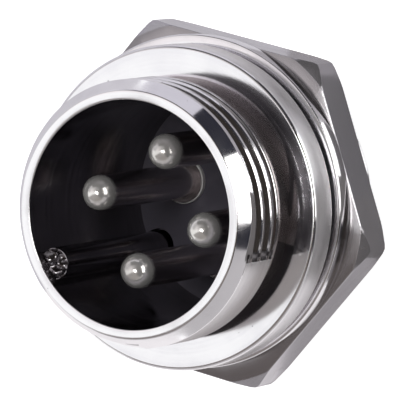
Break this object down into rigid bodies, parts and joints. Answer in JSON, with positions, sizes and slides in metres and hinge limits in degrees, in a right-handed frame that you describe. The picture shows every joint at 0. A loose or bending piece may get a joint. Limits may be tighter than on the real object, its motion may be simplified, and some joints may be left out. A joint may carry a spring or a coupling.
{
  "type": "circular panel connector",
  "caption": "Round plated panel connector with a keyed, threaded socket holding ball-nosed contact pins, a flange, and a washer and hexagon nut on its rear thread.",
  "frame": {"origin": "centre of the flange's rear face, where it meets the panel", "axes": "+Z along the connector's axis towards the mating end; the key rib is on -Y"},
  "size_m": [0.0214, 0.0208, 0.0203],
  "materials": {
    "shell_plating": "bright plated, slightly streaked",
    "nut_plating": "bright plated",
    "washer_plating": "bright plated",
    "insert": "black moulded phenolic",
    "contact": "silver-plated, satin",
    "spring_steel": "bare spring steel"
  },
  "bodies": {
    "connector": {"shell": "shell_plating", "insulator": "insert", "pin_1": "contact", "pin_2": "contact", "pin_3": "contact", "pin_4": "contact", "retaining_ring": "spring_steel"},
    "washer": {"washer": "washer_plating"},
    "nut": {"nut": "nut_plating"}
  },
  "joints": [
    {"name": "washer_travel", "type": "slide", "parent": "connector", "child": "washer", "axis": [0, 0, 1], "range_m": [-0.003, 0.00038]},
    {"name": "nut_turn", "type": "hinge", "parent": "washer", "child": "nut", "pos_m": [0, 0, -0.00265], "axis": [0, 0, 1], "range_deg": [-1080, 135]}
  ],
  "couplings": [
    {"joint": "washer_travel", "follows": "nut_turn", "m_per_rad": 0.00015915}
  ]
}
